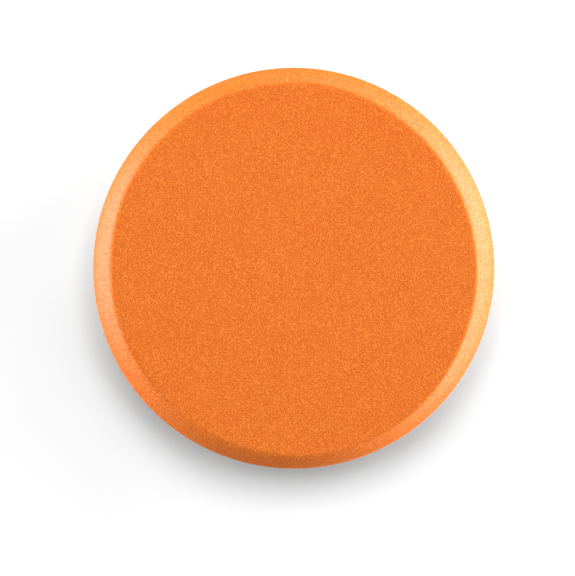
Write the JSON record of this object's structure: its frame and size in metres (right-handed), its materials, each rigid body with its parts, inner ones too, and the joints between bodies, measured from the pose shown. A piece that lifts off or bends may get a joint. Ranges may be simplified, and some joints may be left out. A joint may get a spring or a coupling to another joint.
{
  "type": "polishing pad",
  "caption": "Round open-cell foam polishing pad with a flat work face, a bevelled edge and a hook-and-loop fabric back.",
  "frame": {"origin": "centre of the loop face, on the surface the pad lies on", "axes": "+Z along the pad's spin axis, from the loop face to the work face; X and Y are any two directions across the disc"},
  "size_m": [0.15, 0.15, 0.03],
  "materials": {
    "foam": "matt open-cell foam",
    "adhesive": "dull hot-melt film",
    "knit": "knitted synthetic yarn",
    "pile": "brushed loops"
  },
  "bodies": {
    "backing": {"loop_pile": "pile", "loop_ground": "knit", "adhesive_film": "adhesive"},
    "foam": {"foam_disc": "foam"}
  },
  "joints": [
    {"name": "squeeze", "type": "slide", "parent": "backing", "child": "foam", "axis": [0, 0, -1], "range_m": [0, 0.01], "stiffness_N_per_m": 15000, "deforming": ["foam_disc"]}
  ]
}
